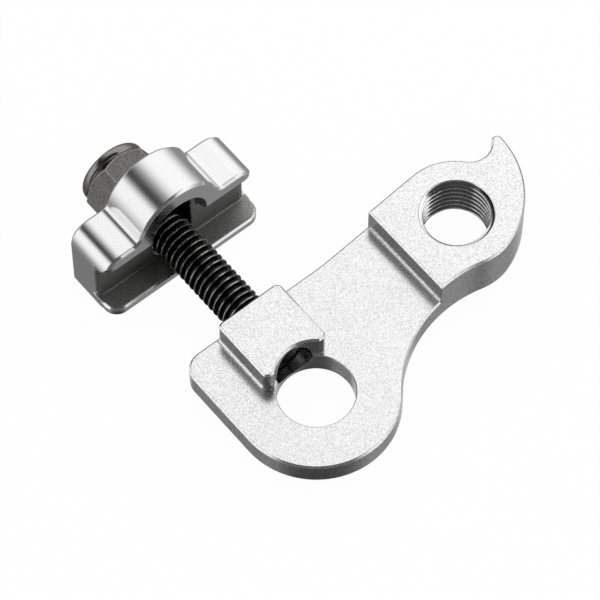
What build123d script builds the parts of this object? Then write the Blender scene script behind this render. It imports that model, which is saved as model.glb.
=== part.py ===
from build123d import *
import math
import os

# Bicycle derailleur hanger with a built-in chain tensioner, in millimetres.
# The origin is the axle hole's centre on the plate's outer face.
# X runs along the tension stud to the end cap, Z is square to the plate.

# Hanger plate
PLATE_T = 3.5             # plate round the axle
BOSS_T = 7.2              # derailleur boss, and the top of the block
AXLE_R = 5.2              # axle hole
END_R = 11.2              # round end, centred on the axle hole
FRONT_X = 14.1            # straight edge that faces the end cap
FRONT_CORNER_R = 2.8
FLARE_Y = -12.5           # where the straight edge starts to lean out to the boss
FLARE_R = 45.0
EDGE_BREAK = 0.25         # small chamfer on the machined edges
MOUTH_BREAK = 0.1         # finer one at the mouths of the two holes
FOOT_R = 0.3              # left by the cutter at the foot of the step and the block

# Derailleur boss and its hook
MECH_X = 7.35
MECH_Y = -29.85
MECH_R = 5.0              # M10 thread, at its major radius
BOSS_R = 8.2
STEP_Y = -21.0            # step from the plate up to the boss
WAIST_R = 18.5            # hollow between the round end and the boss
HOOK_R = 14.2             # back of the hook
HOOK_ANGLE = 19.0         # direction from the boss to the hook's own centre
THROAT_R = 3.0            # stop notch between the hook and the boss
THROAT_INSET = 3.66       # the notch's centre lies this far inside the hook's back
TIP_R = 0.7

# Block that slides in the frame's slot and holds the stud
BLOCK_HALF_W = 5.1
BLOCK_END_X = 3.9
BLOCK_CORNER_R = 0.8
SCALLOP_GAP = 0.2         # the block stands this far back from the axle hole

# Tension stud, M6
STUD_R = 2.95
STUD_Z = 3.6
STUD_START_X = 6.8
STUD_END_X = 44.2
STUD_POINT = 0.6          # chamfer on both ends
SOCKET_AF = 3.0
SOCKET_DEPTH = 3.5
THREAD_CLEARANCE = 0.05   # all round, between the stud and what is tapped for it

# End cap
CAP_BACK_X = 35.6
CAP_DEPTH = 7.5
CAP_HALF_W = 12.5
CAP_PLAN_R = 1.6
CAP_BOTTOM_Z = -0.7
FLANGE_Z = 10.7
FLANGE_END_R = 3.0
ARCH_R = 6.5
ARCH_Z = 9.95
ARCH_FOOT_R = 1.2
CHANNEL_DEPTH = 1.9       # from the upper lip's front to the channel's floor
CHANNEL_TOP_Z = 8.7
CHANNEL_TOP_R = 1.8
CHANNEL_FOOT_R = 0.2
CHANNEL_END_R = 1.4       # by which the channel's floor turns to the cap's ends
LIP_T = 1.6
LIP_REACH = 1.5           # how far the lower lip stands in front of the upper one
LIP_PLAN_R = 2.0
TUNNEL_R = 4.1            # hollow under the arch, in front of the channel's floor
TUNNEL_Z = 9.3            # its centre, and the upper end of the stud's slot
CAP_SLOT_CLEARANCE = 0.3  # each side of the stud
CAP_EDGE_BREAK = 0.35

# Lock nut, M6, with a nylon ring rolled into its collar
NUT_AF = 10.0
NUT_TURN = 35.0           # how far the hexagon is turned
NUT_HEX_H = 5.8
NUT_COLLAR_H = 2.2
NUT_COLLAR_R = 4.9
NUT_COLLAR_ROUND = 0.8
NUT_CHAMFER_ANGLE = 30.0
COLLAR_LIP_R = 3.55       # opening that the rolled edge leaves
COLLAR_LIP_T = 0.5
RING_OUTER_R = 4.05
RING_DEPTH = 1.9
RING_CLEARANCE = 0.02


def polar(center, radius, degrees):
    """Point at a radius and an angle from a centre."""
    turn = math.radians(degrees)
    return (center[0] + radius * math.cos(turn), center[1] + radius * math.sin(turn))


def bearing(start, end):
    """Direction from one point to another, in degrees."""
    return math.degrees(math.atan2(end[1] - start[1], end[0] - start[0]))


def arc(center, radius, start, end):
    """Arc about a centre, between two angles in degrees."""
    middle = (start + end) / 2
    return ThreePointArc(*(polar(center, radius, angle) for angle in (start, middle, end)))


def circles_meet(first, first_r, second, second_r, side):
    """Point at the given distances from two points; side picks one of the two, left being 1."""
    gap = math.dist(first, second)
    along = (first_r**2 - second_r**2 + gap**2) / (2 * gap)
    away = math.sqrt(first_r**2 - along**2)
    heading = bearing(first, second)
    return polar(polar(first, along, heading), away, heading + 90 * side)


def x_cylinder(radius, start, end):
    """Round bar along the stud's axis."""
    return extrude(Plane.YZ.offset(start) * Pos(0, STUD_Z) * Circle(radius), end - start)


def plate_outline():
    """Plan of the plate: round end, hollow waist, boss, hook with its throat, and front edge."""
    axle = (0.0, 0.0)
    boss = (MECH_X, MECH_Y)
    waist = circles_meet(axle, END_R + WAIST_R, boss, BOSS_R + WAIST_R, -1)
    hook = polar(boss, HOOK_R - BOSS_R, HOOK_ANGLE)
    throat = circles_meet(boss, BOSS_R + THROAT_R, hook, HOOK_R - THROAT_INSET, -1)
    tip = circles_meet(hook, HOOK_R - TIP_R, throat, THROAT_R + TIP_R, -1)
    flare = (FRONT_X, FLARE_Y)

    reach = math.dist(boss, flare)
    flare_angle = bearing(boss, flare) - math.degrees(math.acos(BOSS_R / reach))
    flare_start = polar(boss, BOSS_R, flare_angle)
    blend = FLARE_R * math.tan(math.radians(flare_angle / 2))
    blend_center = (FRONT_X + FLARE_R, FLARE_Y + blend)

    waist_start = bearing(axle, waist) % 360
    boss_start = bearing(boss, waist) % 360
    tip_start = bearing(hook, tip) % 360
    tip_end = bearing(tip, throat) + 360
    throat_angle = bearing(boss, throat)
    corner = (FRONT_X - FRONT_CORNER_R, END_R - FRONT_CORNER_R)
    edges = [
        arc(axle, END_R, 90, waist_start),
        arc(waist, WAIST_R, waist_start - 180, boss_start - 180),
        arc(boss, BOSS_R, boss_start, 180 + HOOK_ANGLE),
        arc(hook, HOOK_R, 180 + HOOK_ANGLE, tip_start),
        arc(tip, TIP_R, tip_start, tip_end),
        arc(throat, THROAT_R, tip_end - 180, 180 + throat_angle),
        arc(boss, BOSS_R, throat_angle, flare_angle),
        Line(flare_start, polar(blend_center, FLARE_R, 180 + flare_angle)),
        arc(blend_center, FLARE_R, 180 + flare_angle, 180),
        Line((FRONT_X, FLARE_Y + blend), (FRONT_X, corner[1])),
        arc(corner, FRONT_CORNER_R, 0, 90),
        Line((corner[0], END_R), (0, END_R)),
    ]
    return make_face(edges)


def mouth_tool(radius, sink, start, end):
    """Cutter for a hole along Z with a 45 degree countersink at both mouths."""
    wide = radius + sink
    points = [
        (0, start - sink),
        (wide, start - sink),
        (wide, start),
        (radius, start + sink),
        (radius, end - sink),
        (wide, end),
        (wide, end + sink),
        (0, end + sink),
    ]
    return revolve(Plane.XZ * make_face(Polyline(*points, close=True)), Axis.Z)


def foot_round(start, end, wall_y, side):
    """Concave rounding along X, on the plate, at the foot of a wall that faces +Y (1) or -Y (-1)."""
    corner = Rectangle(2 * FOOT_R, 2 * FOOT_R) - Pos(side * FOOT_R, FOOT_R) * Circle(FOOT_R)
    return extrude(Plane.YZ.offset(start) * Pos(wall_y, PLATE_T) * corner, end - start)


def hanger_plate():
    """Plate, raised boss and block, machined as one piece."""
    outline = plate_outline()
    far = END_R + HOOK_R - MECH_Y
    below_step = Pos(0, STEP_Y - far) * Rectangle(2 * far, 2 * far)
    root = PLATE_T / 2

    plate = extrude(outline, PLATE_T)
    plate = chamfer(plate.edges().group_by(Axis.Z)[0] + plate.edges().group_by(Axis.Z)[-1], EDGE_BREAK)
    boss = extrude(Pos(0, 0, root) * (outline & below_step), BOSS_T - root)
    boss = chamfer(boss.edges().group_by(Axis.Z)[-1], EDGE_BREAK)

    block_length = FRONT_X - BLOCK_END_X
    block_plan = Pos(BLOCK_END_X + block_length / 2, 0) * Rectangle(block_length, 2 * BLOCK_HALF_W)
    block_plan = fillet(block_plan.vertices(), BLOCK_CORNER_R) - Circle(AXLE_R + SCALLOP_GAP)
    block = extrude(Pos(0, 0, root) * block_plan, BOSS_T - root)
    block = chamfer(block.edges().group_by(Axis.Z)[-1], EDGE_BREAK)

    plate -= mouth_tool(AXLE_R, MOUTH_BREAK, 0, PLATE_T)
    body = plate + boss + block
    step_plan = offset(outline, -EDGE_BREAK)
    body += foot_round(-far, far, STEP_Y, 1) & extrude(step_plan, BOSS_T)
    for side in (-1, 1):
        side_start = BLOCK_END_X + BLOCK_CORNER_R
        body += foot_round(side_start, FRONT_X - EDGE_BREAK, side * BLOCK_HALF_W, side)
    body -= Pos(MECH_X, MECH_Y) * mouth_tool(MECH_R, MOUTH_BREAK, 0, BOSS_T)
    body -= x_cylinder(STUD_R + THREAD_CLEARANCE, 0, FRONT_X + EDGE_BREAK)
    return body


def tension_stud():
    """Fully threaded set screw, drawn at its major radius, with a key socket at its free end."""
    stud = x_cylinder(STUD_R, STUD_START_X, STUD_END_X)
    stud = chamfer(stud.edges().filter_by(GeomType.CIRCLE), STUD_POINT)
    socket = RegularPolygon(SOCKET_AF / 2, 6, major_radius=False)
    socket_plane = Plane.YZ.offset(STUD_END_X - SOCKET_DEPTH)
    return stud - extrude(socket_plane * Pos(0, STUD_Z) * socket, SOCKET_DEPTH)


def end_cap_profile():
    """Front view of the end cap: a flange with round ends and the arch over its middle."""
    foot_z = FLANGE_Z + ARCH_FOOT_R
    foot_y = math.sqrt((ARCH_R + ARCH_FOOT_R) ** 2 - (foot_z - ARCH_Z) ** 2)
    foot = (foot_y, foot_z)
    arch = (0.0, ARCH_Z)
    lean = bearing(arch, foot)
    shoulder = (CAP_HALF_W - FLANGE_END_R, FLANGE_Z - FLANGE_END_R)
    half = make_face([
        Line((0, CAP_BOTTOM_Z), (CAP_HALF_W, CAP_BOTTOM_Z)),
        Line((CAP_HALF_W, CAP_BOTTOM_Z), (CAP_HALF_W, shoulder[1])),
        arc(shoulder, FLANGE_END_R, 0, 90),
        Line((shoulder[0], FLANGE_Z), (foot_y, FLANGE_Z)),
        arc(foot, ARCH_FOOT_R, 270, lean + 180),
        arc(arch, ARCH_R, lean, 90),
        Line((0, ARCH_Z + ARCH_R), (0, CAP_BOTTOM_Z)),
    ])
    return half + mirror(half, Plane.YZ)


def rounded_front(front, back, radius):
    """Plan of the end cap between two places along X, with its two front corners rounded."""
    plan = Pos((front + back) / 2, 0) * Rectangle(back - front, 2 * CAP_HALF_W)
    return fillet(plan.vertices().group_by(Axis.X)[0], radius)


def end_cap():
    """Channel that hooks over the dropout's end, with a slot for the stud under an arched upper lip."""
    front = CAP_BACK_X - CAP_DEPTH
    floor = front + CHANNEL_DEPTH
    lip_front = front - LIP_REACH
    lip_top = CAP_BOTTOM_Z + LIP_T
    round_start = CHANNEL_TOP_Z - CHANNEL_TOP_R
    height = ARCH_Z + ARCH_R - CAP_BOTTOM_Z

    drop = TUNNEL_Z - round_start
    tunnel = Circle(TUNNEL_R) + Pos(0, -drop / 2) * Rectangle(2 * TUNNEL_R, drop)
    body = extrude(Plane.YZ.offset(front) * end_cap_profile(), CAP_DEPTH)
    body -= extrude(Plane.YZ.offset(front) * Pos(0, TUNNEL_Z) * tunnel, CHANNEL_DEPTH)
    rims = body.faces().sort_by(Axis.X)
    body = chamfer(rims[0].edges() + rims[-1].edges(), CAP_EDGE_BREAK)
    body &= extrude(Pos(0, 0, CAP_BOTTOM_Z) * rounded_front(front, CAP_BACK_X, CAP_PLAN_R), height)

    gap = CHANNEL_TOP_Z - lip_top
    channel = Pos((lip_front + floor) / 2, lip_top + gap / 2) * Rectangle(floor - lip_front, gap)
    channel = fillet(channel.vertices().group_by(Axis.X)[-1].sort_by(Axis.Y)[-1], CHANNEL_TOP_R)
    channel = fillet(channel.vertices().group_by(Axis.X)[-1].sort_by(Axis.Y)[0], CHANNEL_FOOT_R)
    body -= extrude(Plane.XZ * channel, CAP_HALF_W + LIP_REACH, both=True)
    for side in (-1, 1):
        turn_y = side * (CAP_HALF_W - CHANNEL_END_R)
        pivot = Axis((floor + CHANNEL_END_R, turn_y, 0), (0, 0, -side))
        body -= revolve(Plane.XZ.offset(-turn_y) * channel, pivot, 90)

    lip = extrude(Pos(0, 0, CAP_BOTTOM_Z) * rounded_front(lip_front, floor, LIP_PLAN_R), LIP_T)
    body += chamfer(lip.edges().group_by(Axis.Z)[0] + lip.edges().group_by(Axis.Z)[-1], CAP_EDGE_BREAK)
    slot = SlotCenterToCenter(TUNNEL_Z - STUD_Z, 2 * (STUD_R + CAP_SLOT_CLEARANCE), rotation=90)
    slot = Plane.YZ.offset(lip_front) * Pos(0, (STUD_Z + TUNNEL_Z) / 2) * slot
    return body - extrude(slot, CAP_BACK_X - lip_front)


def on_stud(piece, start):
    """Turns a piece made along Z onto the stud's axis, from a place along X."""
    return Location((start, 0, STUD_Z), (0, 90, 0)) * piece


def lock_nut():
    """Hexagon nut with a rolled collar that holds the nylon ring."""
    flat_r = NUT_AF / 2
    corner_r = flat_r / math.cos(math.radians(30))
    bevel = (corner_r - flat_r) * math.tan(math.radians(NUT_CHAMFER_ANGLE))
    total = NUT_HEX_H + NUT_COLLAR_H
    turned = Polyline(
        (0, 0),
        (flat_r, 0),
        (corner_r, bevel),
        (corner_r, NUT_HEX_H - bevel),
        (flat_r, NUT_HEX_H),
        (0, NUT_HEX_H),
        close=True,
    )
    hexagon = extrude(RegularPolygon(flat_r, 6, major_radius=False, rotation=NUT_TURN), NUT_HEX_H)
    body = hexagon & revolve(Plane.XZ * make_face(turned), Axis.Z)
    collar = extrude(Circle(NUT_COLLAR_R), total)
    body += fillet(collar.edges().sort_by(Axis.Z)[-1], NUT_COLLAR_ROUND)
    pocket_start = total - COLLAR_LIP_T - RING_DEPTH
    body -= extrude(Circle(STUD_R + THREAD_CLEARANCE), total)
    body -= extrude(Pos(0, 0, pocket_start) * Circle(RING_OUTER_R), RING_DEPTH)
    body -= extrude(Pos(0, 0, total - COLLAR_LIP_T) * Circle(COLLAR_LIP_R), COLLAR_LIP_T)
    return on_stud(body, CAP_BACK_X)


def nylon_ring():
    """Ring that grips the stud's thread."""
    ring = Circle(RING_OUTER_R - RING_CLEARANCE) - Circle(STUD_R + RING_CLEARANCE)
    seat = CAP_BACK_X + NUT_HEX_H + NUT_COLLAR_H - COLLAR_LIP_T - RING_DEPTH
    return on_stud(extrude(ring, RING_DEPTH), seat)


pieces = {
    "hanger_plate": hanger_plate(),
    "tension_stud": tension_stud(),
    "end_cap": end_cap(),
    "lock_nut": lock_nut(),
    "nylon_ring": nylon_ring(),
}
os.makedirs("parts", exist_ok=True)
for name, piece in pieces.items():
    export_step(piece, f"parts/{name}.step")
    size = piece.bounding_box().size
    print(name, "solids", len(piece.solids()), "volume", round(piece.volume, 1), "size", size)
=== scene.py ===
# %% [markdown]
# # A derailleur hanger with its chain tensioner
# The hanger is a machined aluminium plate that hangs the rear derailleur from a bicycle frame. This one also
# carries a threaded stud, a polished end cap and a lock nut, which pull the wheel back and tighten the chain.
# The solids come from the CAD model, already in place and in metres, so this lesson adds what CAD leaves out:
# the threads, the nut's rolled collar, the metal finishes, the light and the camera.

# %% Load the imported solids
import math

import bmesh
import bpy
import numpy as np
from mathutils import Matrix, Vector


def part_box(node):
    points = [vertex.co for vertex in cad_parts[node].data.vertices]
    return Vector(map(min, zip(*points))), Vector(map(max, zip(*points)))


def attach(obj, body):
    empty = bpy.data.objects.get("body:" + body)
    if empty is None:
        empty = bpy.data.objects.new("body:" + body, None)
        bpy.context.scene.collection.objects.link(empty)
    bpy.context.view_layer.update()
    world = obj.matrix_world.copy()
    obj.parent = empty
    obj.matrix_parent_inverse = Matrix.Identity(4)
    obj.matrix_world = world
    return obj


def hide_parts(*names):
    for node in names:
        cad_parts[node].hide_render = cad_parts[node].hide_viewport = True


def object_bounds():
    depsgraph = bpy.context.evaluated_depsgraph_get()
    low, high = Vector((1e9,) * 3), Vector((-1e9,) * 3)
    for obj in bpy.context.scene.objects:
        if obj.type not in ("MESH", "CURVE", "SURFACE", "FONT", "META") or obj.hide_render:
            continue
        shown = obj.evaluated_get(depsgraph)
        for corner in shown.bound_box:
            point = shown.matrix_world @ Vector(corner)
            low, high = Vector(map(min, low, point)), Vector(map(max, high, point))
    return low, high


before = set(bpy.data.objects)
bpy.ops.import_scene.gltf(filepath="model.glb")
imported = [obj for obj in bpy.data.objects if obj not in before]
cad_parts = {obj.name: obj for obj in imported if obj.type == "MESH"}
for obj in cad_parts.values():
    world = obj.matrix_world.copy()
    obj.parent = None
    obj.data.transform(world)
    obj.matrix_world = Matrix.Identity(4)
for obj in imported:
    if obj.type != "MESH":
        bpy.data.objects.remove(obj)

cad_box = [list(corner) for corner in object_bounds()]
print("solids:", sorted(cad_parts))

# %% [markdown]
# ## The camera
# The view was worked out from the M10 thread's mouth and the plate's edges: a long lens looks down at sixty
# degrees, with the stud pointing away to the upper left. A camera's matrix holds its right, up and back
# directions as columns, so the direction is written once, as an azimuth and an elevation, and the place
# follows from the pixel where the axle hole's centre is seen and from its depth.

# %% Camera
FRAME_PX = 600.0
FOCAL_PX = 4000.0
SENSOR_MM = 36.0
NEAR_LIMIT = 0.01
CAMERA_AZIMUTH = math.radians(50.793)
CAMERA_ELEVATION = math.radians(60.286)
ORIGIN_PX = (316.14, 403.86)
ORIGIN_DEPTH = 0.519236

back = Vector((
    -math.sin(CAMERA_AZIMUTH) * math.cos(CAMERA_ELEVATION),
    math.cos(CAMERA_AZIMUTH) * math.cos(CAMERA_ELEVATION),
    math.sin(CAMERA_ELEVATION),
))
right = Vector((-math.cos(CAMERA_AZIMUTH), -math.sin(CAMERA_AZIMUTH), 0.0))
up = back.cross(right)
off_right = (ORIGIN_PX[0] - FRAME_PX / 2) / FOCAL_PX
off_down = (ORIGIN_PX[1] - FRAME_PX / 2) / FOCAL_PX
eye = (back - right * off_right + up * off_down) * ORIGIN_DEPTH

camera_data = bpy.data.cameras.new("camera")
camera_data.sensor_width = SENSOR_MM
camera_data.lens = FOCAL_PX / FRAME_PX * SENSOR_MM
camera_data.clip_start = NEAR_LIMIT
camera = bpy.data.objects.new("camera", camera_data)
bpy.context.scene.collection.objects.link(camera)
camera.matrix_world = Matrix.Translation(eye) @ Matrix((right, up, back)).transposed().to_4x4()
bpy.context.scene.camera = camera
print("camera at", [round(value, 4) for value in eye], "lens", camera_data.lens)

# %% [markdown]
# ## Threads as one surface
# A screw thread is a ridge that climbs one pitch in each turn. The radius is therefore a function of one
# number only, the phase: the place along the axis, in pitches, less the angle, in turns. A grid over angle
# and place with that radius gives the whole thread without any loop over its points. A boolean or a screw
# modifier could make it too, but then the run-out at the ends would need extra work.

# %% Thread profile
CREST_END = 1 / 16
ROOT_START = 3 / 8


def ridge(phase):
    """Height of a rolled thread at a phase in pitches: 1 on the crest, 0 in the root.

    The distance from the nearest crest runs from 0 to 0.5. The crest is flat up to CREST_END and the root
    begins at ROOT_START; between them half a straight flank and half a cosine are mixed, which rounds both
    ends.
    """
    distance = np.abs((phase + 0.5) % 1.0 - 0.5)
    fall = np.clip((distance - CREST_END) / (ROOT_START - CREST_END), 0.0, 1.0)
    return 0.5 * (1.0 - fall) + 0.25 * (1.0 + np.cos(np.pi * fall))


print("ridge at crest, flank and root:", [round(float(ridge(phase)), 3) for phase in (0.0, 0.25, 0.5)])

# %% [markdown]
# ## A surface closed round an axis
# The stud, the nut and the tapped hole go round an axis, so one helper makes them all: a grid of points whose
# columns close on themselves. Blender can spin a profile too, but then every column is the same, and a
# thread and a hexagon change on the way round. Each point keeps a mask from 0 to 1, as an attribute that the
# finishes read later: on a thread it is how near the point is to a crest, on the nut which part was turned.

# %% Helpers for pieces round an axis
MERGE_DISTANCE = 1e-7


def closed_quads(rows, columns):
    """Quads of a grid whose columns close on themselves round an axis.

    Corner (i, j) is vertex i * columns + j, and a quad joins (i, j), (i, j + 1), (i + 1, j + 1), (i + 1, j).
    """
    i, j = np.meshgrid(np.arange(rows - 1), np.arange(columns), indexing="ij")
    after = (j + 1) % columns
    corners = [i * columns + j, i * columns + after, (i + 1) * columns + after, (i + 1) * columns + j]
    return np.stack(corners, -1).reshape(-1, 4)


def turned_piece(name, points, mask, body, crease=40.0):
    """Object from a (rows, columns, 3) grid round an axis, with a mask value for each point.

    Rows that meet are merged, and an edge that turns by more than the crease, in degrees, stays sharp.
    """
    mesh = bpy.data.meshes.new(name)
    mesh.from_pydata(points.reshape(-1, 3), [], closed_quads(*points.shape[:2]))
    mesh.attributes.new("mask", "FLOAT", "POINT").data.foreach_set("value", mask.ravel())
    shape = bmesh.new()
    shape.from_mesh(mesh)
    bmesh.ops.remove_doubles(shape, verts=shape.verts, dist=MERGE_DISTANCE)
    shape.to_mesh(mesh)
    shape.free()
    mesh.polygons.foreach_set("use_smooth", np.ones(len(mesh.polygons), bool))
    mesh.set_sharp_from_angle(angle=math.radians(crease))
    piece = bpy.data.objects.new(name, mesh)
    bpy.context.scene.collection.objects.link(piece)
    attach(piece, body)
    print(name, len(mesh.polygons), "faces")
    return piece


# %% [markdown]
# ## The tension stud
# The stud is a black M6 set screw, threaded from end to end, with pointed ends and a key socket. Its
# thread is what the eye sees most of all, so the plain CAD bar is replaced. The chamfer at each end is the
# smaller of the thread's radius and a 45 degree cone, and the hexagon of the socket is one more row of
# the same grid, with its radius following the flats.

# %% Stud
PITCH = 0.001
STUD_AXIS_Z = 0.0036
STUD_CREST = 0.00295
STUD_ROOT = 0.00236
STUD_POINT = 0.0006
STUD_TURN = 0.35
STUD_ROWS = 700
STUD_COLUMNS = 96
SOCKET_FLAT = 0.0015
SOCKET_DEPTH = 0.0035
SOCKET_MASK = 0.5

stud_low, stud_high = (corner.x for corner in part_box("tension_stud"))
angle = np.linspace(0.0, 2.0 * np.pi, STUD_COLUMNS, endpoint=False)[None, :]
station = np.linspace(stud_low, stud_high, STUD_ROWS)[:, None]
height = ridge(station / PITCH - angle / (2.0 * np.pi) + STUD_TURN)
thread = STUD_ROOT + (STUD_CREST - STUD_ROOT) * height
cone = STUD_CREST - STUD_POINT + np.minimum(station - stud_low, stud_high - station)
outer = np.minimum(thread, cone)

around = np.ones_like(angle)
socket = SOCKET_FLAT / np.cos((angle + np.pi / 6) % (np.pi / 3) - np.pi / 6)
radius = np.vstack([0.0 * around, outer, socket, socket, 0.0 * around])
along = np.vstack([
    stud_low * around,
    station * around,
    stud_high * around,
    (stud_high - SOCKET_DEPTH) * around,
    (stud_high - SOCKET_DEPTH - SOCKET_FLAT / 2) * around,
])
mask = np.vstack([0.0 * around, height, SOCKET_MASK * around, 0.0 * around, 0.0 * around])
points = np.stack([along, radius * np.cos(angle), STUD_AXIS_Z + radius * np.sin(angle)], -1)
stud = turned_piece("threaded_stud", points, mask, "hanger")
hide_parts("tension_stud")

# %% [markdown]
# ## The lock nut
# The nut is turned from a hexagon bar: a lathe cuts its corners back to a cone, so each flat ends in an arc,
# and its collar is rolled over the nylon ring, with a neck behind the roll. The CAD nut has a lower cone and
# a plain collar, so this surface replaces it. It is a profile carried round the stud's axis, and each row of
# the grid is one edge of it. A flat meets a cone where the hexagon's radius is the cone's, so the rows that
# lie on the hexagon follow the arcs exactly, which a boolean on a coarse cone would not.

# %% Nut profile
NUT_FLAT = 0.005
NUT_FACE_R = 0.00485
NUT_BORE = 0.0030
NUT_TURN = math.radians(5.0)
NUT_COLUMNS = 120
NUT_SHOULDER = 0.00625
NUT_FOOT_SLOPE = 0.577
NUT_CONE_SLOPE = 0.965
MASK_EDGE = 0.03
ROLL_R = 0.0009
ROLL_RING_R = 0.0040
ROLL_NECK = math.radians(-60.0)
ROLL_ROWS = 15
ROLL_LIP_R = 0.00355
ROLL_LIP_T = 0.0005
POCKET_R = 0.00405
POCKET_DEPTH = 0.0024

nut_low, nut_high = (corner.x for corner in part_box("lock_nut"))
angle = NUT_TURN + np.linspace(0.0, 2.0 * np.pi, NUT_COLUMNS, endpoint=False)[None, :]
hexagon = NUT_FLAT / np.cos((angle - NUT_TURN) % (np.pi / 3) - np.pi / 6)
shoulder = nut_low + NUT_SHOULDER
foot = nut_low + NUT_FOOT_SLOPE * (hexagon - NUT_FACE_R)
arc = shoulder - NUT_CONE_SLOPE * (hexagon - NUT_FACE_R)
roll = np.linspace(ROLL_NECK, np.pi / 2, ROLL_ROWS)[:, None]
bar = [(nut_low, NUT_BORE), (nut_low, NUT_FACE_R), (foot, hexagon), (arc, hexagon)]
lathe = [
    ((1.0 - MASK_EDGE) * arc + MASK_EDGE * shoulder, (1.0 - MASK_EDGE) * hexagon + MASK_EDGE * NUT_FACE_R),
    (shoulder, NUT_FACE_R),
    (nut_high - ROLL_R + ROLL_R * np.sin(roll), ROLL_RING_R + ROLL_R * np.cos(roll)),
    (nut_high, ROLL_LIP_R),
    (nut_high - ROLL_LIP_T, ROLL_LIP_R),
    (nut_high - ROLL_LIP_T, POCKET_R),
    (nut_high - POCKET_DEPTH, POCKET_R),
    (nut_high - POCKET_DEPTH, NUT_BORE),
    (nut_low, NUT_BORE),
]
profile = bar + lathe
print("nut from", round(nut_low, 4), "to", round(nut_high, 4), "by a profile of", len(profile), "edges")

# %% Nut
around = np.ones_like(angle)
along = np.vstack([distance * around for distance, _ in profile])
radius = np.vstack([width * around for _, width in profile])
mask = np.ones_like(along)
mask[:len(bar)] = 0.0
points = np.stack([along, radius * np.cos(angle), STUD_AXIS_Z + radius * np.sin(angle)], -1)
nut = turned_piece("rolled_lock_nut", points, mask, "nut", crease=30.0)
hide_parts("lock_nut")

# %% [markdown]
# ## The derailleur's thread
# The hole in the boss is tapped M10 by 1. CAD holds it as a plain hole at the major radius, so the ridges are
# a thin sleeve that stands inside it: the inner wall carries the ridge and the outer wall lies in the metal.
# A short, steep lead-in opens both mouths, so the inner radius is the larger of the thread's and the cone's,
# the other way round than on the stud.

# %% Tapped sleeve
BOSS_X = 0.00735
BOSS_Y = -0.02985
TAP_MAJOR = 0.00500
TAP_MINOR = 0.00446
TAP_BURIED = 0.00505
TAP_LOW = 0.00012
TAP_HIGH = 0.00708
TAP_ROWS = 170
TAP_COLUMNS = 144
LEAD_IN_SLOPE = 3.0

angle = np.linspace(0.0, 2.0 * np.pi, TAP_COLUMNS, endpoint=False)[None, :]
level = np.linspace(TAP_HIGH, TAP_LOW, TAP_ROWS)[:, None]
height = ridge(level / PITCH - angle / (2.0 * np.pi))
thread = TAP_MAJOR - (TAP_MAJOR - TAP_MINOR) * height
cone = TAP_MAJOR - LEAD_IN_SLOPE * np.minimum(level - TAP_LOW, TAP_HIGH - level)
inner = np.maximum(thread, cone)
around = np.ones_like(angle)
radius = np.vstack([TAP_BURIED * around, inner, TAP_BURIED * around, TAP_BURIED * around])
rise = np.vstack([TAP_HIGH * around, level * around, TAP_LOW * around, TAP_HIGH * around])
mask = np.vstack([around, height, around, around])
points = np.stack([BOSS_X + radius * np.cos(angle), BOSS_Y + radius * np.sin(angle), rise], -1)
sleeve = turned_piece("derailleur_thread_ridges", points, mask, "hanger")

# %% [markdown]
# ## Finishes from noise
# Every finish here is bare or dark metal, so the look lies in the roughness, in a fine bump and in a slight
# unevenness of tone. One helper makes a noise on Object coordinates, stretched as asked, and others spread it
# over a range or between two colours; each finish then sets its own sockets. Object coordinates are in
# metres here, so a scale of 5000 is a grain of a fifth of a millimetre. Real edges are never quite sharp,
# so a Bevel node rounds the normals over a fraction of a millimetre before the bump is added.

# %% Helpers for the finishes
def finish_nodes(name, metallic):
    """A new material, and its Principled shader."""
    material = bpy.data.materials.new(name)
    material.use_nodes = True
    shader = material.node_tree.nodes["Principled BSDF"]
    shader.inputs["Metallic"].default_value = metallic
    return material, shader


def grain(material, scale, stretch=(1.0, 1.0, 1.0), detail=3.0):
    """Output of a noise on Object coordinates, from 0 to 1, stretched along each axis."""
    nodes, links = material.node_tree.nodes, material.node_tree.links
    where = nodes.new("ShaderNodeTexCoord")
    mapping = nodes.new("ShaderNodeMapping")
    mapping.inputs["Scale"].default_value = stretch
    noise = nodes.new("ShaderNodeTexNoise")
    noise.inputs["Scale"].default_value = scale
    noise.inputs["Detail"].default_value = detail
    links.new(where.outputs["Object"], mapping.inputs["Vector"])
    links.new(mapping.outputs["Vector"], noise.inputs["Vector"])
    return noise.outputs["Fac"]


def spread(material, source, low, high, start=0.3, end=0.7):
    """A source between start and end, spread over the range from low to high."""
    node = material.node_tree.nodes.new("ShaderNodeMapRange")
    node.inputs["From Min"].default_value = start
    node.inputs["From Max"].default_value = end
    node.inputs["To Min"].default_value = low
    node.inputs["To Max"].default_value = high
    material.node_tree.links.new(source, node.inputs["Value"])
    return node.outputs["Result"]


def tone(material, source, dark, light, start=0.3, end=0.7):
    """A colour between two, by a source between start and end."""
    node = material.node_tree.nodes.new("ShaderNodeValToRGB")
    ramp = node.color_ramp
    ramp.elements[0].position, ramp.elements[0].color = start, (*dark, 1.0)
    ramp.elements[1].position, ramp.elements[1].color = end, (*light, 1.0)
    material.node_tree.links.new(source, node.inputs["Fac"])
    return node.outputs["Color"]


def relief(material, shader, source, depth, strength, edge):
    """Fine relief of a depth in metres, on normals that turn over the edges within a radius in metres."""
    nodes, links = material.node_tree.nodes, material.node_tree.links
    node = nodes.new("ShaderNodeBump")
    node.inputs["Distance"].default_value = depth
    node.inputs["Strength"].default_value = strength
    rounding = nodes.new("ShaderNodeBevel")
    rounding.inputs["Radius"].default_value = edge
    links.new(source, node.inputs["Height"])
    links.new(rounding.outputs["Normal"], node.inputs["Normal"])
    links.new(node.outputs["Normal"], shader.inputs["Normal"])


def wear(*pieces, material):
    """Gives a material to pieces, in place of what they had."""
    for piece in pieces:
        piece.data.materials.clear()
        piece.data.materials.append(material)
    print(material.name, "on", [piece.name for piece in pieces])


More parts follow.
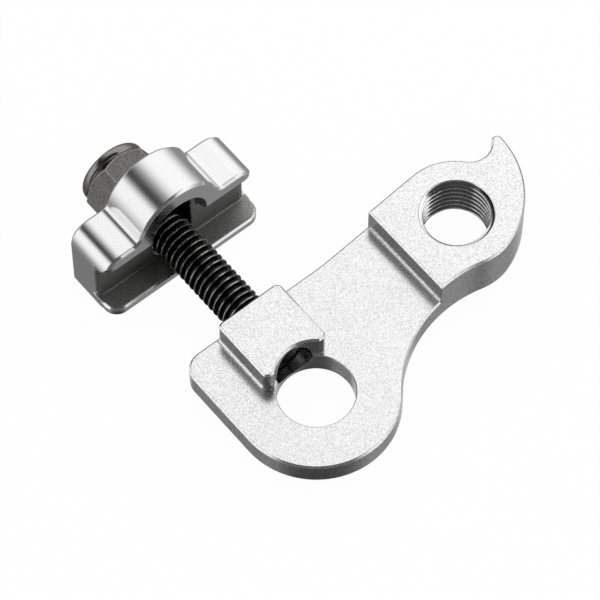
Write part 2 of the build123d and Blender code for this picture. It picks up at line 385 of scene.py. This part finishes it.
# %% [markdown]
# ## Satin aluminium
# The plate is milled and then fine blasted, so its top is almost white, with a grain that is just visible,
# and it still mirrors what stands on it. The grain is squeezed along Z, which turns it into short upright
# streaks on the side walls, as a milling cutter leaves them.

# %% Plate finish
satin, shader = finish_nodes("satin_aluminium", metallic=1.0)
links = satin.node_tree.links
fine = grain(satin, scale=7000.0, stretch=(1.0, 1.0, 0.23))
cloudy = grain(satin, scale=160.0, detail=2.0)
blasted = tone(satin, fine, dark=(0.62, 0.62, 0.625), light=(1.0, 1.0, 1.0), start=0.34, end=0.56)
links.new(blasted, shader.inputs["Base Color"])
links.new(spread(satin, cloudy, low=0.17, high=0.23), shader.inputs["Roughness"])
relief(satin, shader, fine, depth=0.00002, strength=0.4, edge=0.0001)
wear(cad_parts["hanger_plate"], material=satin)

# %% [markdown]
# ## Tapped aluminium
# A tap cuts the thread last and leaves it bright and bare, smoother than the blasted plate. The roots are
# painted nearly black as shade, so the tone follows the piece's own mask, which is 1 on the crest. A noise
# could darken it too, but it wouldn't know where the roots are.

# %% Thread finish
def own_mask(material):
    """Output of the mask that the piece's points carry."""
    node = material.node_tree.nodes.new("ShaderNodeAttribute")
    node.attribute_name = "mask"
    return node.outputs["Fac"]


tapped, shader = finish_nodes("tapped_aluminium", metallic=1.0)
links = tapped.node_tree.links
scuffs = grain(tapped, scale=2400.0, stretch=(1.0, 1.0, 3.0))
# Painted shade: nearly black in the thread's roots, bright on its crests.
cut = tone(tapped, own_mask(tapped), dark=(0.03, 0.03, 0.03), light=(0.95, 0.95, 0.95))
links.new(cut, shader.inputs["Base Color"])
links.new(spread(tapped, scuffs, low=0.08, high=0.14), shader.inputs["Roughness"])
relief(tapped, shader, scuffs, depth=0.00001, strength=0.2, edge=0.00005)
wear(sleeve, material=tapped)

# %% [markdown]
# ## Regions of one solid
# A solid can have more than one finish, such as a polished outside and a dull inside. It could be cut into
# faces with a material each, but here the shader reads its place on the piece and works out a value from 0 to
# 1 that is high in the region. Such values are combined by sums, and colours are blended by them. Sharp
# edges are found where a Bevel node turns the normal.

# %% Helpers for regions
EDGE_STARTS = 0.995
EDGE_FULL = 0.95


def position(material):
    """Outputs X, Y and Z of the place on a piece, in metres."""
    nodes, links = material.node_tree.nodes, material.node_tree.links
    where = nodes.new("ShaderNodeTexCoord")
    parts = nodes.new("ShaderNodeSeparateXYZ")
    links.new(where.outputs["Object"], parts.inputs[0])
    return parts.outputs


def reach(material, middle):
    """Output of the distance from a line along X, whose place in Y and Z is given, in metres."""
    nodes, links = material.node_tree.nodes, material.node_tree.links
    where = nodes.new("ShaderNodeTexCoord")
    flat = nodes.new("ShaderNodeMapping")
    flat.inputs["Scale"].default_value = (0.0, 1.0, 1.0)
    node = nodes.new("ShaderNodeVectorMath")
    node.operation = "DISTANCE"
    node.inputs[1].default_value = (0.0, *middle)
    links.new(where.outputs["Object"], flat.inputs["Vector"])
    links.new(flat.outputs["Vector"], node.inputs[0])
    return node.outputs["Value"]


def combine(material, operation, first, second):
    """One sum on two outputs, such as MULTIPLY or MAXIMUM."""
    node = material.node_tree.nodes.new("ShaderNodeMath")
    node.operation = operation
    material.node_tree.links.new(first, node.inputs[0])
    material.node_tree.links.new(second, node.inputs[1])
    return node.outputs[0]


def blend(material, factor, first, second):
    """A colour between two outputs, by a factor from 0 to 1."""
    node = material.node_tree.nodes.new("ShaderNodeMixRGB")
    for socket, source in zip(node.inputs, (factor, first, second)):
        material.node_tree.links.new(source, socket)
    return node.outputs[0]


def sharp_edge_mask(material, radius):
    """Output that is 1 on sharp edges and 0 away from them, by how far a Bevel node turns the normal.

    The cosine of that turn is EDGE_STARTS where the edge begins and EDGE_FULL on the edge.
    """
    nodes, links = material.node_tree.nodes, material.node_tree.links
    rounding = nodes.new("ShaderNodeBevel")
    rounding.inputs["Radius"].default_value = radius
    surface = nodes.new("ShaderNodeNewGeometry")
    likeness = nodes.new("ShaderNodeVectorMath")
    likeness.operation = "DOT_PRODUCT"
    links.new(rounding.outputs["Normal"], likeness.inputs[0])
    links.new(surface.outputs["Normal"], likeness.inputs[1])
    return spread(material, likeness.outputs["Value"], low=0.0, high=1.0, start=EDGE_STARTS, end=EDGE_FULL)


# %% [markdown]
# ## Polished aluminium
# The end cap is buffed until it mirrors the studio. A perfect mirror looks false, so the roughness wanders a
# little, and the bump gives it the very fine grain of the buffing wheel. The wheel doesn't reach into the
# channel or the tunnel under the arch, which stay dull, and their colour is painted dark as shade, apart from
# their edges. The sawn front face above the channel is bright but not a mirror. The place in the cap tells
# these regions apart.

# %% Cap regions
CHANNEL_LOW = 0.00085
CHANNEL_HIGH = 0.0086
CHANNEL_BACK = 0.0303
CAP_FRONT = 0.02812
TUNNEL_R = 0.00415
TUNNEL_Z = 0.0093
REGION_BLEND = 0.00005

polished, shader = finish_nodes("polished_aluminium", metallic=1.0)
links = polished.node_tree.links


def rises(source, start):
    """0 up to a start and 1 from just past it."""
    return spread(polished, source, low=0.0, high=1.0, start=start, end=start + REGION_BLEND)


def falls(source, start):
    """1 up to a start and 0 from just past it."""
    return spread(polished, source, low=1.0, high=0.0, start=start, end=start + REGION_BLEND)


spot = position(polished)
tunnel = falls(reach(polished, (0.0, TUNNEL_Z)), TUNNEL_R)
between_lips = combine(
    polished,
    "MULTIPLY",
    rises(spot["Z"], CHANNEL_LOW - REGION_BLEND),
    falls(spot["Z"], CHANNEL_HIGH),
)
hollow = combine(polished, "MAXIMUM", between_lips, tunnel)
channel = combine(polished, "MULTIPLY", hollow, falls(spot["X"], CHANNEL_BACK))
sawn_face = combine(polished, "MULTIPLY", falls(spot["X"], CAP_FRONT), rises(spot["Z"], CHANNEL_HIGH))
print("channel between", CHANNEL_LOW, "and", CHANNEL_HIGH, "m, tunnel of radius", TUNNEL_R, "m")

# %% Cap finish
smear = grain(polished, scale=420.0, detail=4.0)
buffed = grain(polished, scale=4200.0, detail=2.0)
edges = sharp_edge_mask(polished, radius=0.00012)
bright = tone(polished, buffed, dark=(0.84, 0.84, 0.845), light=(0.95, 0.95, 0.95))
# The channel and tunnel get a darker tone as painted shade, and their sharp edges keep the bright tone.
darker_tone = tone(polished, buffed, dark=(0.31, 0.31, 0.305), light=(0.48, 0.48, 0.475))
inside = blend(polished, edges, darker_tone, bright)
links.new(blend(polished, channel, bright, inside), shader.inputs["Base Color"])
sawn = spread(polished, sawn_face, low=0.0, high=0.21, start=0.0, end=1.0)
outside = combine(polished, "MAXIMUM", spread(polished, smear, low=0.08, high=0.15), sawn)
unbuffed = spread(polished, edges, low=0.5, high=0.2, start=0.0, end=1.0)
links.new(blend(polished, channel, outside, unbuffed), shader.inputs["Roughness"])
relief(polished, shader, buffed, depth=0.00001, strength=0.25, edge=0.0002)
wear(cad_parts["end_cap"], material=polished)

# %% [markdown]
# ## Black steel
# Black oxide is thin and oiled, so the flanks are nearly black. The crests are painted lighter, partly as
# grey steel worn bare by the nut and partly as painted highlights, and a noise breaks them up into dashes.

# %% Stud finish
black, shader = finish_nodes("black_steel", metallic=1.0)
links = black.node_tree.links
patchy = grain(black, scale=900.0, detail=4.0)
# Lighter crests, broken up by noise: wear from the nut and painted highlights.
highlight_and_wear = combine(black, "MULTIPLY", own_mask(black), spread(black, patchy, low=0.80, high=1.06))
metal = tone(black, highlight_and_wear, dark=(0.018, 0.017, 0.017), light=(0.46, 0.45, 0.44), start=0.78, end=0.99)
links.new(metal, shader.inputs["Base Color"])
links.new(spread(black, patchy, low=0.08, high=0.16), shader.inputs["Roughness"])
relief(black, shader, patchy, depth=0.00001, strength=0.3, edge=0.00005)
wear(stud, material=black)

# %% [markdown]
# ## Grey steel
# The nut has a dull, slightly brown plating on its hexagon. Its sharp edges are painted much lighter, partly
# as wear from spanners and partly as painted edge highlights. Its cone and collar, which were turned and
# rolled, came out darker and smoother. The nut's own mask tells the two apart, because they meet along the
# arcs, which no plain limit along an axis follows.

# %% Nut finish
grey, shader = finish_nodes("grey_steel", metallic=1.0)
links = grey.node_tree.links
speckle = grain(grey, scale=3200.0, detail=4.0)
collar = own_mask(grey)
darker_tone = tone(grey, speckle, dark=(0.13, 0.125, 0.115), light=(0.24, 0.23, 0.215))
glossy = tone(grey, speckle, dark=(0.23, 0.225, 0.22), light=(0.33, 0.32, 0.31))
# Much lighter colour on the sharp edges: painted edge highlight and wear from spanners.
highlight_and_wear = tone(grey, speckle, dark=(0.80, 0.79, 0.77), light=(0.90, 0.89, 0.87))
plated = blend(grey, sharp_edge_mask(grey, radius=0.0002), darker_tone, highlight_and_wear)
links.new(blend(grey, collar, plated, glossy), shader.inputs["Base Color"])
links.new(spread(grey, collar, low=0.44, high=0.12, start=0.0, end=1.0), shader.inputs["Roughness"])
relief(grey, shader, speckle, depth=0.00001, strength=0.4, edge=0.00018)
wear(nut, material=grey)

# %% [markdown]
# ## Nylon
# The ring in the nut's collar is milky nylon, and it shows only from the free end. It isn't metal, so its
# colour is its own, and the noise only clouds it a little.

# %% Ring finish
nylon, shader = finish_nodes("nylon", metallic=0.0)
links = nylon.node_tree.links
milky = grain(nylon, scale=700.0)
clouded = tone(nylon, milky, dark=(0.74, 0.74, 0.70), light=(0.84, 0.84, 0.81))
links.new(clouded, shader.inputs["Base Color"])
links.new(spread(nylon, milky, low=0.35, high=0.5), shader.inputs["Roughness"])
wear(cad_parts["nylon_ring"], material=nylon)

# %% [markdown]
# ## The table
# The object lies on a white table. The table is white to the eye by its own light, mixed with a plain diffuse
# part that keeps the shadow. Light Path tells the two kinds of ray apart: what looks at the table sees
# white, and what the table throws onto the object is only its diffuse part.

# %% Helpers for the studio
def staged(name, points, faces, material):
    """A piece of the studio, which isn't part of the object."""
    mesh = bpy.data.meshes.new(name)
    mesh.from_pydata(points, [], faces)
    mesh.materials.append(material)
    piece = bpy.data.objects.new(name, mesh)
    bpy.context.scene.collection.objects.link(piece)
    return piece


def seen_directly(tree):
    """Output that is 1 for camera, glossy and transmission rays, and 0 for the light on a surface."""
    rays = tree.nodes.new("ShaderNodeLightPath")
    total = rays.outputs["Is Camera Ray"]
    for kind in ("Is Glossy Ray", "Is Transmission Ray"):
        either = tree.nodes.new("ShaderNodeMath")
        either.operation = "MAXIMUM"
        tree.links.new(total, either.inputs[0])
        tree.links.new(rays.outputs[kind], either.inputs[1])
        total = either.outputs[0]
    return total


# %% Floor
FLOOR_GAP = 0.0001
FLOOR_Z = cad_box[0][2] - FLOOR_GAP
FLOOR_HALF = 3.0
FLOOR_GLOW = 0.97
FLOOR_TONE = (0.9, 0.9, 0.9, 1.0)

table = bpy.data.materials.new("white_table")
table.use_nodes = True
nodes, links = table.node_tree.nodes, table.node_tree.links
nodes.remove(nodes["Principled BSDF"])
share = nodes.new("ShaderNodeMath")
share.operation = "MULTIPLY"
share.inputs[1].default_value = FLOOR_GLOW
diffuse = nodes.new("ShaderNodeBsdfDiffuse")
diffuse.inputs["Color"].default_value = FLOOR_TONE
white = nodes.new("ShaderNodeEmission")
mixed = nodes.new("ShaderNodeMixShader")
links.new(seen_directly(table.node_tree), share.inputs[0])
links.new(share.outputs[0], mixed.inputs[0])
links.new(diffuse.outputs[0], mixed.inputs[1])
links.new(white.outputs[0], mixed.inputs[2])
links.new(mixed.outputs[0], nodes["Material Output"].inputs["Surface"])
corners = np.array([(-1, -1), (1, -1), (1, 1), (-1, 1)]) * FLOOR_HALF
floor = staged("floor", np.column_stack([corners, np.full(4, FLOOR_Z)]), [(0, 1, 2, 3)], table)
floor.visible_glossy = False
print("floor at", round(FLOOR_Z, 5))

# %% [markdown]
# ## The room
# The world gives the soft light from all round, at a plain level, and is white where it is looked at.

# %% World
ROOM_LIGHT = 0.6
ROOM_WHITE = 1.0

world = bpy.data.worlds.new("studio")
bpy.context.scene.world = world
world.use_nodes = True
nodes, links = world.node_tree.nodes, world.node_tree.links
brightness = nodes.new("ShaderNodeMapRange")
brightness.inputs["To Min"].default_value = ROOM_LIGHT
brightness.inputs["To Max"].default_value = ROOM_WHITE
links.new(seen_directly(world.node_tree), brightness.inputs["Value"])
links.new(brightness.outputs["Result"], nodes["Background"].inputs["Strength"])
nodes["Background"].inputs["Color"].default_value = (1.0, 1.0, 1.0, 1.0)
print("world light", ROOM_LIGHT)

# %% [markdown]
# ## Two soft lamps
# A key lamp and a weaker fill model the dull pieces and draw the shadow. They are kept out of reflections,
# because the tent of the next step stands for all that the polished metal sees.

# %% Lamps
LAMP_AIM = Vector((0.016, -0.012, 0.003))
LAMP_SIZE = 0.3


def softbox(name, location, power):
    """A square lamp that looks at the middle of the object."""
    data = bpy.data.lights.new(name, "AREA")
    data.size = LAMP_SIZE
    data.energy = power
    lamp = bpy.data.objects.new(name, data)
    bpy.context.scene.collection.objects.link(lamp)
    lamp.location = location
    lamp.rotation_euler = (Vector(location) - LAMP_AIM).to_track_quat("Z", "Y").to_euler()
    lamp.visible_glossy = False
    print(name, "lamp", power, "W")


softbox("key", location=(0.25, -0.35, 0.55), power=1.6)
softbox("fill", location=(-0.30, 0.35, 0.50), power=0.6)

# %% [markdown]
# ## What the metal mirrors
# Polished metal has no look of its own: it shows the studio. Small parts are photographed in a light tent,
# with white panels overhead and at one side, a dark gap between them and a dark place for the camera. A dome
# that only reflections can see stands for that tent, and its light is a function of the direction. Two
# kinds of shape are enough: a strip along X, by the angle round that axis, and a round patch, by the angle
# from its middle.

# %% Helpers for the tent's light
tent = bpy.data.materials.new("studio_tent")
tent.use_nodes = True
nodes, links = tent.node_tree.nodes, tent.node_tree.links
nodes.remove(nodes["Principled BSDF"])


def calculate(operation, first, second=0.0):
    """One sum on two sockets or plain numbers."""
    node = nodes.new("ShaderNodeMath")
    node.operation = operation
    for socket, value in zip(node.inputs, (first, second)):
        if isinstance(value, float):
            socket.default_value = value
        else:
            links.new(value, socket)
    return node.outputs[0]


def soft_step(value, start, end):
    """0 at start and 1 at end, eased between them."""
    node = nodes.new("ShaderNodeMapRange")
    node.interpolation_type = "SMOOTHSTEP"
    node.inputs["From Min"].default_value = start
    node.inputs["From Max"].default_value = end
    links.new(value, node.inputs["Value"])
    return node.outputs["Result"]


def towards(level, target, mask):
    """A level moved to a target as far as a mask says."""
    gap = calculate("SUBTRACT", target, level)
    return calculate("ADD", level, calculate("MULTIPLY", gap, mask))


# %% Strips and patches
where = nodes.new("ShaderNodeTexCoord")
unit = nodes.new("ShaderNodeVectorMath")
unit.operation = "NORMALIZE"
links.new(where.outputs["Object"], unit.inputs[0])
parts = nodes.new("ShaderNodeSeparateXYZ")
links.new(unit.outputs[0], parts.inputs[0])
turn = calculate("DEGREES", calculate("ARCTAN2", parts.outputs["Y"], parts.outputs["Z"]))


def strip(start, full, fade, end):
    """1 on a strip along X, between two angles from straight up towards +Y, eased to 0 at start and end."""
    return calculate("MULTIPLY", soft_step(turn, start, full), soft_step(turn, end, fade))


def patch(middle, inner, outer):
    """1 within an inner angle of a direction, eased to 0 at an outer one."""
    facing = nodes.new("ShaderNodeVectorMath")
    facing.operation = "DOT_PRODUCT"
    links.new(unit.outputs[0], facing.inputs[0])
    facing.inputs[1].default_value = Vector(middle).normalized()
    return soft_step(facing.outputs["Value"], math.cos(math.radians(outer)), math.cos(math.radians(inner)))


# %% [markdown]
# ## The tent's panels
# Above the table the tent is grey cloth, with the two white panels, the dark gap between them, the opening
# for the camera and the darker room below that. Under the horizon, the metal mirrors what lies around on the
# table: grey, dark on the camera's side, a little darker at its left and lighter on the far side. A
# photographed room could stand here too, but it couldn't be set panel by panel.

# %% Tent light
GREY_CLOTH = 0.27
GREY_TABLE = 0.25
HORIZON_START = -0.62
HORIZON_END = -0.80

dark_gap = strip(start=-10.0, full=5.0, fade=50.0, end=70.0)
overhead_panel = strip(start=-105.0, full=-57.0, fade=-26.0, end=28.0)
side_panel = strip(start=31.0, full=58.0, fade=75.0, end=130.0)
opening = patch((-0.47, 0.10, 0.88), inner=36.0, outer=44.0)
dark_room = patch((-0.75, 0.60, 0.30), inner=36.0, outer=46.0)
above = towards(GREY_CLOTH, 0.07, dark_gap)
above = towards(above, 1.05, overhead_panel)
above = towards(above, 1.0, side_panel)
above = towards(above, 0.04, opening)
above = towards(above, 0.12, dark_room)

near_side = patch((-0.405, 0.284, -0.869), inner=8.0, outer=36.0)
left_side = patch((0.384, 0.313, -0.869), inner=10.0, outer=28.0)
far_side = patch((0.406, -0.284, -0.869), inner=2.0, outer=30.0)
below = towards(GREY_TABLE, 0.05, near_side)
below = towards(below, 0.19, left_side)
below = towards(below, 0.55, far_side)

horizon = soft_step(parts.outputs["Z"], HORIZON_START, HORIZON_END)
lining = nodes.new("ShaderNodeEmission")
links.new(towards(above, below, horizon), lining.inputs["Strength"])
links.new(lining.outputs[0], nodes["Material Output"].inputs["Surface"])
tent.cycles.emission_sampling = "NONE"
print("tent light from", len(nodes), "nodes")

# %% Tent dome
TENT_R = 1.6
TENT_ROWS = 25
TENT_COLUMNS = 48
POLE_GAP = 0.01

bearing = np.linspace(0.0, 2.0 * np.pi, TENT_COLUMNS, endpoint=False)[None, :]
upward = np.linspace(-np.pi / 2 + POLE_GAP, np.pi / 2 - POLE_GAP, TENT_ROWS)[:, None]
points = TENT_R * np.stack([
    np.cos(upward) * np.cos(bearing),
    np.cos(upward) * np.sin(bearing),
    np.sin(upward) * np.ones_like(bearing),
], -1)
faces = closed_quads(*points.shape[:2])
dome = staged("studio_tent", points.reshape(-1, 3), faces, tent)
dome.visible_camera = False
dome.visible_diffuse = False
dome.visible_shadow = False
dome.visible_transmission = False
print("tent of", len(faces), "panels")

# %% [markdown]
# ## Sizes
# The dressed part has to stay as large as the CAD model, so the CAD model's box, taken before anything was
# added, is printed.

# %% Finish
bpy.context.scene.view_settings.view_transform = "Standard"
print("CAD box", cad_box)
